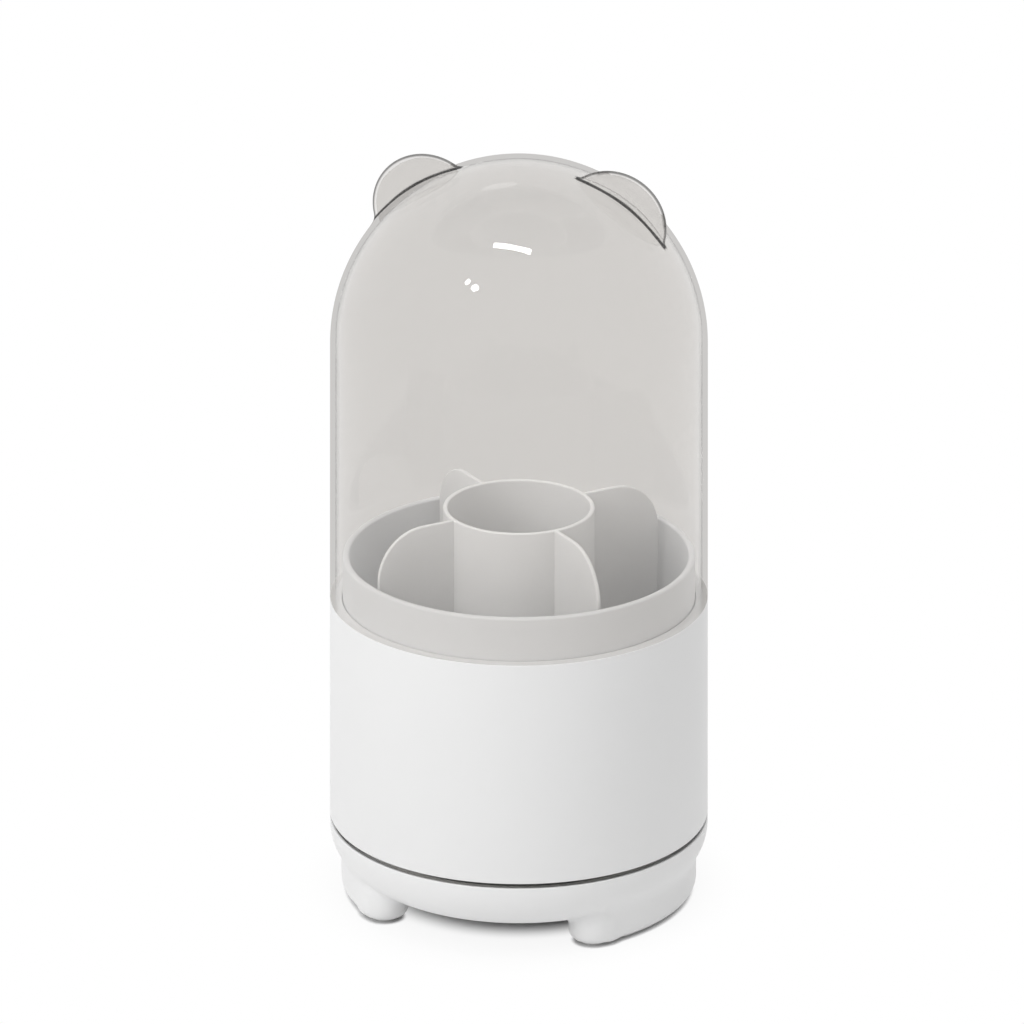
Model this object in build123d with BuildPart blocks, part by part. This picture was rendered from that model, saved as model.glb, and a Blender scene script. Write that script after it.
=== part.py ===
# Rotating brush holder: a clear domed cover with two round ears stands on a turning drum,
# and the drum runs on a ball race in a footed base.
# Millimetres, +Z up, front towards -Y, origin on the ground on the axis of rotation.
from build123d import *
import os
from math import acos, asin, cos, degrees, radians, sin, tan

os.makedirs("parts", exist_ok=True)

# Overall sizes
body_radius = 70.0
draft_angle = 0.42
base_height = 29.4
seam_gap = 1.6
sleeve_height = 87.5
collar_height = 16.8
cover_straight = 100.5
divider_rise = 35.3

# Walls and clearances
cover_wall = 2.0
sleeve_wall = 2.2
bucket_wall = 2.6
bucket_floor = 2.2
divider_wall = 1.7
base_wall = 2.4
slip_clearance = 0.3
seat_clearance = 0.02
running_clearance = 0.05
edge_round = 0.5

# Cover and its ears
ear_angle = 35.4
ear_radius = 20.8
ear_thickness = 5.6
ear_wall = 1.4
ear_rim = 1.0
core_rim = 0.5
ear_sink = 8.9
ear_root_round = 2.0
cover_play = 2.0

# Drum
ledge_thickness = 2.4
bead_height = 2.0
plate_thickness = 3.0
plate_rebate = 0.8
bucket_boss_height = 7.0
bucket_boss_radius = 4.5
bucket_boss_inset = 24.0
bucket_corner = 3.0
collar_round = 1.1
screw_count = 4

# Divider
cup_radius = 28.3
fin_clearance = 3.4
fin_corner = 19.0
fin_count = 4
fin_turn = 45.0
locating_rib_height = 3.5
locating_rib_wall = 1.6

# Ball race
ball_radius = 2.5
ball_count = 16
ball_inset = 10.0
race_width = 10.0
race_thickness = 2.0
race_gap = 3.4
cage_width = 11.0
cage_thickness = 1.6
cage_clearance = 0.15

# Base
bowl_reach = 26.0
lip_turn = 65.0
lip_share = 0.3035
lip_width = 3.0
rim_band = 1.9
rim_width = 1.6
leg_stand = 10.7
leg_wall = 5.0
leg_round = 4.6
leg_lift = 1.2
leg_overlap = 7.6
toe_angle = 45.0
toe_lift = 1.0
toe_overlap = 8.3
toe_stand = 0.25
toe_radius = 9.0
toe_round = 4.6
pad_margin = 0.2
pad_thickness = 2.2
pad_edge_round = 0.4
underside_thickness = 1.8
underside_boss_radius = 4.0
underside_boss_inset = 17.1

# Pivot
spindle_radius = 7.0
bush_wall = 2.0
bush_flange = 2.0
bush_flange_height = 1.0
hub_wall = 3.0
end_play = 0.4
head_room = 1.7
washer_radius = 11.5
washer_thickness = 1.5
pivot_screw_radius = 2.0
pivot_screw_length = 10.0
pivot_head_radius = 4.0
pivot_head_height = 2.4
pivot_slot_width = 1.0
pivot_slot_depth = 1.0

# Countersunk screws
small_screw_radius = 1.45
small_screw_length = 8.0
small_head_radius = 2.8
small_head_height = 1.6
small_slot_width = 0.8
small_slot_depth = 0.7

# Heights that several pieces share
sleeve_bottom = base_height + seam_gap
ledge_top = sleeve_bottom + sleeve_height
collar_top = ledge_top + collar_height
dome_centre = ledge_top + cover_straight
race_bottom = sleeve_bottom - race_gap
deck_top = race_bottom - race_thickness
deck_bottom = deck_top - base_wall
plate_bottom = sleeve_bottom + race_thickness
plate_top = plate_bottom + plate_thickness
bucket_bottom = plate_top + bucket_boss_height
floor_top = bucket_bottom + bucket_floor
divider_top = ledge_top + divider_rise
ball_height = sleeve_bottom - race_gap / 2
lip_height = base_height * lip_share
bowl_height = base_height - rim_band
skirt_top = lip_height + leg_overlap
toe_top = lip_height + toe_overlap
underside_top = lip_height + underside_thickness
screw_bottom = underside_top + head_room
washer_bottom = screw_bottom + pivot_head_height
spindle_bottom = washer_bottom + washer_thickness
hub_bottom = spindle_bottom + end_play
hub_length = deck_top - hub_bottom
pilot_depth = small_screw_length - underside_thickness + slip_clearance

# Radii that several pieces share: cover and sleeve widen downwards by the draft
cover_bore = body_radius - cover_wall
cover_flare = cover_straight * tan(radians(draft_angle))
foot_radius = body_radius / cos(radians(draft_angle)) + cover_flare
foot_bore = cover_bore / cos(radians(draft_angle)) + cover_flare
drum_radius = foot_radius + sleeve_height * tan(radians(draft_angle))
bucket_radius = cover_bore - cover_play
bucket_bore = bucket_radius - bucket_wall
ledge_bore = bucket_radius + slip_clearance
sleeve_bore = foot_radius - sleeve_wall
sleeve_foot_bore = drum_radius - sleeve_wall
bead_radius = sleeve_bore - slip_clearance
rebate_radius = sleeve_foot_bore + plate_rebate
plate_radius = rebate_radius - slip_clearance
cup_bore = cup_radius - divider_wall
fin_reach = bucket_bore - fin_clearance
rib_radius = cup_bore - slip_clearance
rim_bore = drum_radius - rim_width
bush_bore = spindle_radius + running_clearance
bush_radius = bush_bore + bush_wall
hub_bore = bush_radius + seat_clearance
hub_radius = hub_bore + hub_wall
groove_radius = ball_radius + running_clearance
bowl_drop = (bowl_height - lip_height) / sin(radians(lip_turn))
bowl_centre = drum_radius - bowl_reach
lip_radius = bowl_centre + bowl_reach * cos(radians(lip_turn))
lip_bore = lip_radius - lip_width
bore_reach = bowl_reach - base_wall
bore_drop = bowl_drop - base_wall
bore_turn = degrees(acos((lip_bore - bowl_centre) / bore_reach))
shoulder_turn = degrees(asin((bowl_height - deck_bottom) / bore_drop))
underside_radius = lip_bore - slip_clearance
leg_radius = lip_radius + leg_stand
toe_reach = leg_radius + toe_stand - toe_radius
ball_reach = body_radius - ball_inset
bucket_boss_reach = bucket_radius - bucket_boss_inset
underside_boss_reach = underside_radius - underside_boss_inset
pad_radius = toe_radius - toe_round - pad_margin
core_radius = ear_radius - ear_wall
core_thickness = ear_thickness - 2 * ear_wall
ear_centre = body_radius - ear_sink
ear_x = ear_centre * sin(radians(ear_angle))
ear_z = dome_centre + ear_centre * cos(radians(ear_angle))
clear_hole = small_screw_radius + slip_clearance
pilot_hole = small_screw_radius + running_clearance
sink_radius = small_head_radius + slip_clearance
pad_seat = pad_radius + running_clearance

# Places that several pieces share
ear_places = [(-ear_x, 0, ear_z), (ear_x, 0, ear_z)]
toe_x = toe_reach * sin(radians(toe_angle))
toe_y = toe_reach * cos(radians(toe_angle))
toe_places = {
    "front_left": (-toe_x, -toe_y),
    "front_right": (toe_x, -toe_y),
    "back_left": (-toe_x, toe_y),
    "back_right": (toe_x, toe_y),
}

screw_face = Plane.XY.offset(screw_bottom)


def upright_plane(heading):
    out = (cos(radians(heading)), sin(radians(heading)), 0)
    side = (sin(radians(heading)), -cos(radians(heading)), 0)
    return Plane(origin=(0, 0, 0), x_dir=out, z_dir=side)


# A lens is two ball caps that run into a round rim: radius of the caps, and their half angle
def lens_cap(radius, thickness, rim):
    cap = (thickness**2 / 4 + (radius - rim) ** 2 - rim**2) / (thickness - 2 * rim)
    return cap, degrees(asin((radius - rim) / (cap - rim)))


ear_cap, ear_turn = lens_cap(ear_radius, ear_thickness, ear_rim)
core_cap, core_turn = lens_cap(core_radius, core_thickness, core_rim)

# Cover: a bullet of one wall thickness, and each ear a hollow lens open to the inside
with BuildPart() as ear_blank:
    with BuildSketch(Plane.YZ) as ear_section:
        with BuildLine():
            ear_front = CenterArc((ear_thickness / 2 - ear_cap, 0), ear_cap, 0, -ear_turn)
            CenterArc((0, ear_rim - ear_radius), ear_rim, -ear_turn, 2 * ear_turn - 180)
            ear_back = CenterArc((ear_cap - ear_thickness / 2, 0), ear_cap, ear_turn - 180, -ear_turn)
            Line(ear_back @ 1, ear_front @ 0)
        make_face()
    revolve(axis=Axis.Y)

with BuildPart() as ear_core:
    with BuildSketch(Plane.YZ) as core_section:
        with BuildLine():
            core_front = CenterArc((core_thickness / 2 - core_cap, 0), core_cap, 0, -core_turn)
            CenterArc((0, core_rim - core_radius), core_rim, -core_turn, 2 * core_turn - 180)
            core_back = CenterArc((core_cap - core_thickness / 2, 0), core_cap, core_turn - 180, -core_turn)
            Line(core_back @ 1, core_front @ 0)
        make_face()
    revolve(axis=Axis.Y)

with BuildPart() as dust_cover:
    with BuildSketch(Plane.YZ) as cover_outside:
        with BuildLine():
            cover_foot = Line((0, ledge_top), (foot_radius, ledge_top))
            cover_dome = CenterArc((0, dome_centre), body_radius, draft_angle, 90 - draft_angle)
            Line(cover_foot @ 1, cover_dome @ 0)
            Line(cover_dome @ 1, cover_foot @ 0)
        make_face()
    revolve(axis=Axis.Z)
    smooth_edges = dust_cover.edges()
    with Locations(ear_places):
        add(ear_blank.part)
    dome_skin = dust_cover.faces().filter_by(GeomType.SPHERE).sort_by(SortBy.AREA)[-1]
    fillet(dome_skin.edges() - smooth_edges, radius=ear_root_round)
    with BuildSketch(Plane.YZ) as cover_inside:
        with BuildLine():
            bore_foot = Line((0, ledge_top), (foot_bore, ledge_top))
            bore_dome = CenterArc((0, dome_centre), cover_bore, draft_angle, 90 - draft_angle)
            Line(bore_foot @ 1, bore_dome @ 0)
            Line(bore_dome @ 1, bore_foot @ 0)
        make_face()
    revolve(axis=Axis.Z, mode=Mode.SUBTRACT)
    with Locations(ear_places):
        add(ear_core.part, mode=Mode.SUBTRACT)
    foot_edges = dust_cover.edges().group_by(Axis.Z)[0]
    chamfer(foot_edges.sort_by(SortBy.RADIUS)[0], length=edge_round)

# Outer sleeve: straight wall, inward ledge on top, rebate below for the turntable plate
with BuildPart() as outer_sleeve:
    with BuildSketch(Plane.XZ) as sleeve_section:
        with BuildLine():
            Polyline(
                (rebate_radius, sleeve_bottom),
                (drum_radius, sleeve_bottom),
                (foot_radius, ledge_top),
                (ledge_bore, ledge_top),
                (ledge_bore, ledge_top - ledge_thickness),
                (sleeve_bore, ledge_top - ledge_thickness),
                (sleeve_foot_bore, plate_top),
                (rebate_radius, plate_top),
                close=True,
            )
        make_face()
        fillet(sleeve_section.vertices().sort_by(Axis.X)[-2:], radius=edge_round)
    revolve(axis=Axis.Z)

# Inner bucket: the neck above the ledge, a bead that holds the sleeve down, four screw bosses
with BuildPart() as inner_bucket:
    with BuildSketch(Plane.XZ) as bucket_section:
        with BuildLine():
            Polyline(
                (0, bucket_bottom),
                (bucket_radius, bucket_bottom),
                (bucket_radius, ledge_top - ledge_thickness - bead_height),
                (bead_radius, ledge_top - ledge_thickness - bead_height),
                (bead_radius, ledge_top - ledge_thickness),
                (bucket_radius, ledge_top - ledge_thickness),
                (bucket_radius, collar_top),
                (bucket_bore, collar_top),
                (bucket_bore, floor_top),
                (0, floor_top),
                close=True,
            )
        make_face()
        fillet(bucket_section.vertices().group_by(Axis.Y)[-1], radius=collar_round)
        floor_line = bucket_section.vertices().group_by(Axis.Y)[1]
        fillet(floor_line.sort_by(Axis.X)[-1], radius=bucket_corner)
    revolve(axis=Axis.Z)
    with BuildSketch(Plane.XY.offset(floor_top)) as locating_rib:
        Circle(rib_radius)
        Circle(rib_radius - locating_rib_wall, mode=Mode.SUBTRACT)
    extrude(amount=locating_rib_height)
    with BuildSketch(Plane.XY.offset(plate_top)) as bucket_bosses:
        with PolarLocations(bucket_boss_reach, screw_count):
            Circle(bucket_boss_radius)
    extrude(amount=bucket_boss_height)
    with BuildSketch(Plane.XY.offset(plate_top)) as bucket_pilots:
        with PolarLocations(bucket_boss_reach, screw_count):
            Circle(pilot_hole)
    extrude(amount=bucket_boss_height, mode=Mode.SUBTRACT)

# Divider: open centre cup with fins whose outer top corners are rounded
with BuildPart() as divider_insert:
    with BuildSketch(Plane.XY.offset(floor_top)) as cup_ring:
        Circle(cup_radius)
    extrude(amount=divider_top - floor_top)
    for turn in range(fin_count):
        fin_heading = fin_turn + 360 / fin_count * turn
        with BuildSketch(upright_plane(fin_heading)) as fin_face:
            with BuildLine():
                fin_foot = Line((0, floor_top), (fin_reach, floor_top))
                fin_edge = Line(fin_foot @ 1, (fin_reach, divider_top - fin_corner))
                fin_arc = CenterArc((fin_reach - fin_corner, divider_top - fin_corner), fin_corner, 0, 90)
                fin_top = Line(fin_arc @ 1, (0, divider_top))
                Line(fin_top @ 1, fin_foot @ 0)
            make_face()
        extrude(amount=divider_wall / 2, both=True)
    with BuildSketch(Plane.XY.offset(floor_top)) as cup_hollow:
        Circle(cup_bore)
    extrude(amount=divider_top - floor_top, mode=Mode.SUBTRACT)
    cup_rims = divider_insert.edges().filter_by(GeomType.CIRCLE).group_by(Axis.Z)[-1]
    fillet(cup_rims.filter_by(lambda edge: edge.radius < cup_bore + edge_round), radius=edge_round)

# Turntable plate with the spindle below it
with BuildPart() as turntable_plate:
    with BuildSketch(Plane.XY.offset(plate_bottom)) as plate_disc:
        Circle(plate_radius)
    extrude(amount=plate_thickness)
    with BuildSketch(Plane.XY.offset(spindle_bottom)) as spindle:
        Circle(spindle_radius)
    extrude(amount=plate_bottom - spindle_bottom)
    with Locations((0, 0, spindle_bottom)):
        Cylinder(
            pivot_screw_radius + running_clearance,
            pivot_screw_length + end_play,
            align=(Align.CENTER, Align.CENTER, Align.MIN),
            mode=Mode.SUBTRACT,
        )
    with BuildSketch(Plane.XY.offset(plate_bottom)) as plate_holes:
        with PolarLocations(bucket_boss_reach, screw_count):
            Circle(clear_hole)
    extrude(amount=plate_thickness, mode=Mode.SUBTRACT)
    with Locations((0, 0, plate_bottom)):
        with PolarLocations(bucket_boss_reach, screw_count):
            Cone(
                sink_radius,
                clear_hole,
                small_head_height,
                align=(Align.CENTER, Align.CENTER, Align.MIN),
                mode=Mode.SUBTRACT,
            )

# One countersunk screw, head down, its head face at the local origin
with BuildPart() as small_screw:
    with BuildSketch(Plane.XZ) as small_screw_section:
        with BuildLine():
            Polyline(
                (0, 0),
                (small_head_radius, 0),
                (small_screw_radius, small_head_height),
                (small_screw_radius, small_screw_length - small_screw_radius),
                (0, small_screw_length),
                close=True,
            )
        make_face()
    revolve(axis=Axis.Z)
    for quarter in (0, 90):
        with BuildSketch(Plane.XY.rotated((0, 0, quarter))) as small_slot:
            Rectangle(small_head_radius, small_slot_width)
        extrude(amount=small_slot_depth, mode=Mode.SUBTRACT)

with BuildPart() as bucket_screws:
    with Locations((0, 0, plate_bottom)):
        with PolarLocations(bucket_boss_reach, screw_count):
            add(small_screw.part)

# Races: two flat rings with facing grooves, and the caged balls between them
with BuildPart() as upper_race:
    with BuildSketch(Plane.XY.offset(sleeve_bottom)) as upper_ring:
        Circle(ball_reach + race_width / 2)
        Circle(ball_reach - race_width / 2, mode=Mode.SUBTRACT)
    extrude(amount=race_thickness)
    with BuildSketch(Plane.XZ) as upper_groove:
        with Locations((ball_reach, ball_height)):
            Circle(groove_radius)
    revolve(axis=Axis.Z, mode=Mode.SUBTRACT)

with BuildPart() as lower_race:
    with BuildSketch(Plane.XY.offset(deck_top)) as lower_ring:
        Circle(ball_reach + race_width / 2)
        Circle(ball_reach - race_width / 2, mode=Mode.SUBTRACT)
    extrude(amount=race_thickness)
    with BuildSketch(Plane.XZ) as lower_groove:
        with Locations((ball_reach, ball_height)):
            Circle(groove_radius)
    revolve(axis=Axis.Z, mode=Mode.SUBTRACT)

with BuildPart() as bearing_balls:
    with Locations((0, 0, ball_height)):
        with PolarLocations(ball_reach, ball_count):
            Sphere(ball_radius)

with BuildPart() as ball_cage:
    with BuildSketch(Plane.XY.offset(ball_height - cage_thickness / 2)) as cage_ring:
        Circle(ball_reach + cage_width / 2)
        Circle(ball_reach - cage_width / 2, mode=Mode.SUBTRACT)
        with PolarLocations(ball_reach, ball_count):
            Circle(ball_radius + cage_clearance, mode=Mode.SUBTRACT)
    extrude(amount=cage_thickness)

# Base: bowl with deck and hub, two side skirts, four rounded toes
with BuildPart() as toe_blank:
    with BuildSketch(Plane.XZ) as toe_section:
        with BuildLine():
            Polyline(
                (0, toe_lift),
                (toe_radius, toe_lift),
                (toe_radius, toe_top),
                (0, toe_top),
                close=True,
            )
        make_face()
        fillet(toe_section.vertices().group_by(Axis.Y)[0].sort_by(Axis.X)[-1], radius=toe_round)
    revolve(axis=Axis.Z)

with BuildPart() as base_housing:
    with BuildSketch(Plane.XZ) as bowl_section:
        with BuildLine():
            rim_path = Polyline(
                (hub_bore, deck_top),
                (rim_bore, deck_top),
                (rim_bore, base_height),
                (drum_radius, base_height),
                (drum_radius, bowl_height),
            )
            bowl_outside = EllipticalCenterArc(
                (bowl_centre, bowl_height), bowl_reach, bowl_drop, 0, arc_size=-lip_turn
            )
            bowl_inside = EllipticalCenterArc(
                (bowl_centre, bowl_height),
                bore_reach,
                bore_drop,
                -bore_turn,
                arc_size=bore_turn - shoulder_turn,
            )
            Polyline(bowl_outside @ 1, (lip_bore, lip_height), bowl_inside @ 0)
            Polyline(
                bowl_inside @ 1,
                (hub_radius, deck_bottom),
                (hub_radius, hub_bottom),
                (hub_bore, hub_bottom),
                rim_path @ 0,
            )
        make_face()
    revolve(axis=Axis.Z)
    for skirt_start in (toe_angle - 90, toe_angle + 90):
        with BuildSketch(upright_plane(skirt_start)) as skirt_section:
            with BuildLine():
                Polyline(
                    (leg_radius - leg_wall, leg_lift),
                    (leg_radius, leg_lift),
                    (leg_radius, skirt_top),
                    (leg_radius - leg_wall, skirt_top),
                    close=True,
                )
            make_face()
            fillet(skirt_section.vertices().group_by(Axis.Y)[0].sort_by(Axis.X)[-1], radius=leg_round)
        revolve(axis=Axis.Z, revolution_arc=180 - 2 * toe_angle)
    with Locations(*toe_places.values()):
        add(toe_blank.part)
    with BuildSketch(Plane.XY.offset(toe_lift)) as pad_seats:
        with Locations(*toe_places.values()):
            Circle(pad_seat)
    extrude(amount=pad_thickness - toe_lift, mode=Mode.SUBTRACT)
    with BuildSketch(Plane.XY.offset(underside_top)) as underside_bosses:
        with PolarLocations(underside_boss_reach, screw_count):
            Circle(underside_boss_radius)
    extrude(amount=deck_bottom - underside_top)
    with BuildSketch(Plane.XY.offset(underside_top)) as underside_pilots:
        with PolarLocations(underside_boss_reach, screw_count):
            Circle(pilot_hole)
    extrude(amount=pilot_depth, mode=Mode.SUBTRACT)

with BuildPart() as underside_plate:
    with BuildSketch(Plane.XY.offset(lip_height)) as underside_disc:
        Circle(underside_radius)
        with Locations(*toe_places.values()):
            Circle(toe_radius + slip_clearance, mode=Mode.SUBTRACT)
        with PolarLocations(underside_boss_reach, screw_count):
            Circle(clear_hole, mode=Mode.SUBTRACT)
    extrude(amount=underside_thickness)
    with Locations((0, 0, lip_height)):
        with PolarLocations(underside_boss_reach, screw_count):
            Cone(
                sink_radius,
                clear_hole,
                small_head_height,
                align=(Align.CENTER, Align.CENTER, Align.MIN),
                mode=Mode.SUBTRACT,
            )

with BuildPart() as underside_screws:
    with Locations((0, 0, lip_height)):
        with PolarLocations(underside_boss_reach, screw_count):
            add(small_screw.part)

# Pivot: flanged bush in the hub, and the washer and screw that hold the spindle in it
with BuildPart() as pivot_bush:
    with BuildSketch(Plane.XY.offset(hub_bottom)) as bush_barrel:
        Circle(bush_radius)
    extrude(amount=hub_length)
    with BuildSketch(Plane.XY.offset(deck_top)) as bush_collar:
        Circle(bush_radius + bush_flange)
    extrude(amount=bush_flange_height)
    with BuildSketch(Plane.XY.offset(hub_bottom)) as bush_hole:
        Circle(bush_bore)
    extrude(amount=hub_length + bush_flange_height, mode=Mode.SUBTRACT)

with BuildPart() as pivot_washer:
    with BuildSketch(Plane.XY.offset(washer_bottom)) as washer_face:
        Circle(washer_radius)
        Circle(pivot_screw_radius + slip_clearance, mode=Mode.SUBTRACT)
    extrude(amount=washer_thickness)

with BuildPart() as pivot_screw:
    with Locations((0, 0, washer_bottom)):
        Cylinder(
            pivot_screw_radius,
            pivot_screw_length + washer_thickness,
            align=(Align.CENTER, Align.CENTER, Align.MIN),
        )
        Cylinder(
            pivot_head_radius,
            pivot_head_height,
            align=(Align.CENTER, Align.CENTER, Align.MAX),
        )
    head_rim = pivot_screw.edges().filter_by(GeomType.CIRCLE).group_by(Axis.Z)[0]
    fillet(head_rim, radius=edge_round)
    for quarter in (0, 90):
        with BuildSketch(screw_face.rotated((0, 0, quarter))) as pivot_slot:
            Rectangle(pivot_head_radius, pivot_slot_width)
        extrude(amount=pivot_slot_depth, mode=Mode.SUBTRACT)

pieces = {
    "dust_cover": dust_cover,
    "outer_sleeve": outer_sleeve,
    "inner_bucket": inner_bucket,
    "divider_insert": divider_insert,
    "turntable_plate": turntable_plate,
    "bucket_screws": bucket_screws,
    "upper_race": upper_race,
    "ball_cage": ball_cage,
    "bearing_balls": bearing_balls,
    "lower_race": lower_race,
    "base_housing": base_housing,
    "underside_plate": underside_plate,
    "underside_screws": underside_screws,
    "pivot_bush": pivot_bush,
    "pivot_washer": pivot_washer,
    "pivot_screw": pivot_screw,
}

# Non-slip pads, one seated in each toe
for corner, place in toe_places.items():
    with BuildPart() as foot_pad:
        with BuildSketch(Plane.XY) as pad_face:
            with Locations(place):
                Circle(pad_radius)
        extrude(amount=pad_thickness)
        fillet(foot_pad.edges().group_by(Axis.Z)[0], radius=pad_edge_round)
    pieces["foot_pad_" + corner] = foot_pad

for name, piece in pieces.items():
    piece.part.label = name
    export_step(piece.part, "parts/" + name + ".step")
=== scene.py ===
from math import cos, pi, radians, sin

import bmesh
import bpy
import numpy as np
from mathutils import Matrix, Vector


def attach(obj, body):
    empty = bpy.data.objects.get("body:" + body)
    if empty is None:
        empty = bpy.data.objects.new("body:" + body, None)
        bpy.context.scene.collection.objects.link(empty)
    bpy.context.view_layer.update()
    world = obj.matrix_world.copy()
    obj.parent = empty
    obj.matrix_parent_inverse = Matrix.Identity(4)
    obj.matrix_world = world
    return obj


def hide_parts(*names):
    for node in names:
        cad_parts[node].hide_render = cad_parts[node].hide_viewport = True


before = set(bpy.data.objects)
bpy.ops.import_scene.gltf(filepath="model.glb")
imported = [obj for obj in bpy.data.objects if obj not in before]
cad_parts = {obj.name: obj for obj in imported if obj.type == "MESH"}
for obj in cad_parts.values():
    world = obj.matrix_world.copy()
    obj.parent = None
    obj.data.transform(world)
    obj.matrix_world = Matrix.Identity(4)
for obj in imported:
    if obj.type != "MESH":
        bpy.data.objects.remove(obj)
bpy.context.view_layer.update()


# Surfaces

weldReach = 2e-6
sliverReach = 1e-6
onAxis = 1e-6  # radius of a section's point on the upright axis
tiny = 1e-9  # keeps a division off zero


def quadGrid(rows, cols, wrapRows, wrapCols):
    # corner numbers of each face: a point, its next column, the one across, its next row
    i = np.arange(rows if wrapRows else rows - 1)[:, None]
    j = np.arange(cols if wrapCols else cols - 1)[None, :]
    nextRow, nextCol = (i + 1) % rows, (j + 1) % cols
    corners = [i * cols + j, i * cols + nextCol, nextRow * cols + nextCol, nextRow * cols + j]
    return np.stack(corners, -1).reshape(-1, 4)


def skinOf(name, grids, sharpAngle=38, marks=None):
    # grids holds (points, wrapRows, wrapCols), with points as rows x columns x 3
    points, faces, start = [], [], 0
    for grid, wrapRows, wrapCols in grids:
        points.append(grid.reshape(-1, 3))
        faces.append(quadGrid(grid.shape[0], grid.shape[1], wrapRows, wrapCols) + start)
        start += len(points[-1])
    points, faces = np.concatenate(points), np.concatenate(faces)
    mesh = bpy.data.meshes.new(name)
    mesh.vertices.add(len(points))
    mesh.vertices.foreach_set("co", points.ravel())
    mesh.loops.add(faces.size)
    mesh.loops.foreach_set("vertex_index", faces.ravel())
    mesh.polygons.add(len(faces))
    mesh.polygons.foreach_set("loop_start", np.arange(len(faces)) * 4)
    mesh.update(calc_edges=True)
    for label, values in (marks or {}).items():
        mesh.attributes.new(label, "FLOAT", "POINT").data.foreach_set("value", values.ravel())
    shell = bmesh.new()
    shell.from_mesh(mesh)
    bmesh.ops.remove_doubles(shell, verts=shell.verts, dist=weldReach)
    bmesh.ops.dissolve_degenerate(shell, edges=shell.edges, dist=sliverReach)
    bmesh.ops.recalc_face_normals(shell, faces=shell.faces)
    shell.to_mesh(mesh)
    shell.free()
    mesh.polygons.foreach_set("use_smooth", np.ones(len(mesh.polygons), dtype=bool))
    mesh.set_sharp_from_angle(angle=radians(sharpAngle))
    piece = bpy.data.objects.new(name, mesh)
    bpy.context.scene.collection.objects.link(piece)
    print(name, "has", len(mesh.polygons), "faces")
    return piece


def settle(piece, body, slotName, material, *nodes):
    piece.data.materials.append(material)
    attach(piece, body)
    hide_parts(*nodes)


def roundedLoop(corners, steps=7):
    # each corner (radius, height, round) becomes an arc that touches both of its sides
    corners = np.array(corners, dtype=float)
    loop = []
    for k in range(len(corners)):
        here, turn = corners[k, :2], corners[k, 2]
        if turn <= 0:
            loop.append(here[None])
            continue
        before = corners[k - 1, :2] - here
        after = corners[(k + 1) % len(corners), :2] - here
        before, after = before / np.linalg.norm(before), after / np.linalg.norm(after)
        halfAngle = np.arccos(np.clip(before @ after, -1, 1)) / 2
        middle = before + after
        centre = here + middle / np.linalg.norm(middle) * turn / np.sin(halfAngle)
        reach = turn / np.tan(halfAngle)
        first, last = here + before * reach - centre, here + after * reach - centre
        share = np.linspace(0, 1, steps)[:, None]
        sweep = np.arccos(np.clip(first @ last / turn ** 2, -1, 1))
        arc = (np.sin((1 - share) * sweep) * first + np.sin(share * sweep) * last) / np.sin(sweep)
        loop.append(centre + arc)
    return np.concatenate(loop)


def turned(profile, count=224, middle=(0.0, 0.0)):
    # each (radius, height) goes round the upright axis: x = r cos t, y = r sin t
    t = np.linspace(0, 2 * pi, count, endpoint=False)[None]
    radius, height = profile[:, :1], profile[:, 1:2]
    return np.stack([middle[0] + radius * np.cos(t), middle[1] + radius * np.sin(t), height + 0 * t], -1)


def softLeast(a, b, reach):
    # the lesser of two distances, rounded over where they differ by less than reach
    share = np.clip(reach - np.abs(a - b), 0, None) / reach
    return np.minimum(a, b) - share ** 2 * reach / 4


def softMost(a, b, reach):
    return -softLeast(-a, -b, reach)


def edgeOfForm(depth, near, far, steps=44):
    # halves the span between a point inside and a point outside until it meets the skin
    for _ in range(steps):
        mid = (near + far) / 2
        inside = depth(mid) < 0
        near, far = np.where(inside, mid, near), np.where(inside, far, mid)
    return (near + far) / 2


# Finishes

white = (1, 1, 1, 1)


def feed(tree, node, inputs):
    # an input takes a value, or the output of another node
    for key, value in inputs.items():
        if isinstance(value, bpy.types.NodeSocket):
            tree.links.new(value, node.inputs[key])
        else:
            node.inputs[key].default_value = value


def put(tree, kind, inputs=None, **settings):
    node = tree.nodes.new(kind)
    for key, value in settings.items():
        setattr(node, key, value)
    feed(tree, node, inputs or {})
    return node


def work(tree, operation, *terms):
    return put(tree, "ShaderNodeMath", dict(enumerate(terms)), operation=operation).outputs["Value"]


def ranged(tree, value, start, stop, low=0.0, high=1.0, kind="LINEAR"):
    # start to stop becomes low to high, and stays there beyond
    span = {"Value": value, "From Min": start, "From Max": stop, "To Min": low, "To Max": high}
    return put(tree, "ShaderNodeMapRange", span, interpolation_type=kind).outputs["Result"]


def mixed(tree, share, first, second):
    colors = {"Factor": share, "A": first, "B": second}
    return put(tree, "ShaderNodeMix", colors, data_type="RGBA").outputs["Result"]


def marked(tree, label):
    return put(tree, "ShaderNodeAttribute", attribute_name=label).outputs["Fac"]


def lengthOf(tree, vector):
    return put(tree, "ShaderNodeVectorMath", {0: vector}, operation="LENGTH").outputs["Value"]


def newTree(name):
    material = bpy.data.materials.new(name)
    material.use_nodes = True
    tree = material.node_tree
    return material, tree, tree.nodes["Principled BSDF"], tree.nodes["Material Output"]


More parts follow.
